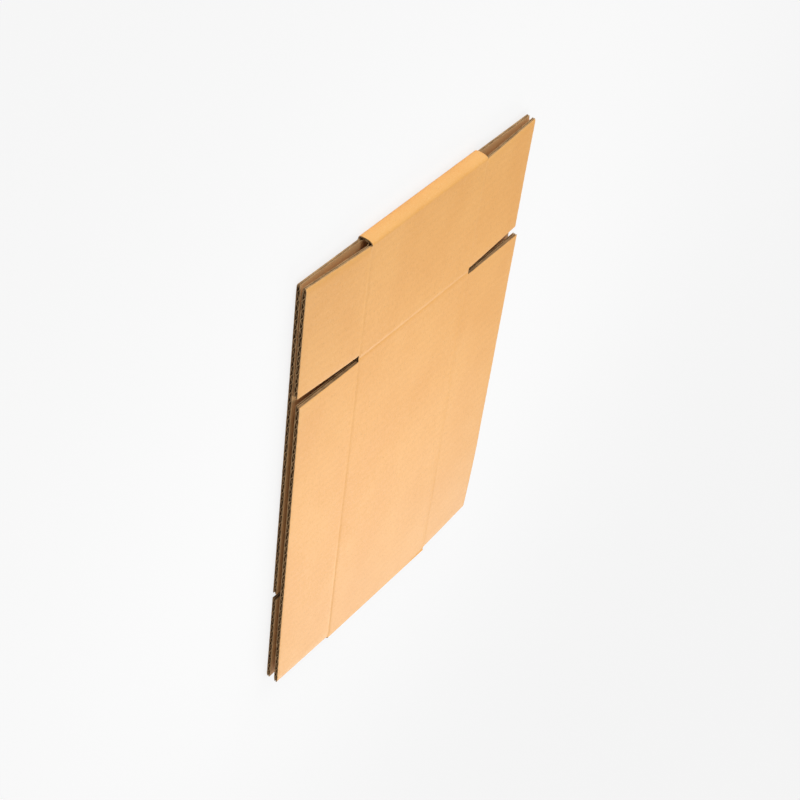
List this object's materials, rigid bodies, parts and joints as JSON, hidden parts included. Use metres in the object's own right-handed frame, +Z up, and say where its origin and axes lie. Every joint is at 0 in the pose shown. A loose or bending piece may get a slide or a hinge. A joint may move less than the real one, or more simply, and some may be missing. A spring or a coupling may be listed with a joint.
{
  "type": "flattened cardboard box",
  "caption": "Slotted shipping box of single-wall corrugated board, knocked down flat with its flaps, slots and scores; it squares up into a long low carton.",
  "frame": {"origin": "middle of the underside, on the surface that the flat box lies on", "axes": "+X along the flutes and the box's height, +Y across the panels towards the short upper panel, +Z up from the lower layer to the upper one"},
  "size_m": [0.19, 0.33, 0.0094],
  "materials": {
    "kraft_board": "matt brown kraft liner with darker cut edges"
  },
  "bodies": {
    "root": {"flattened_box": "kraft_board"}
  },
  "joints": []
}
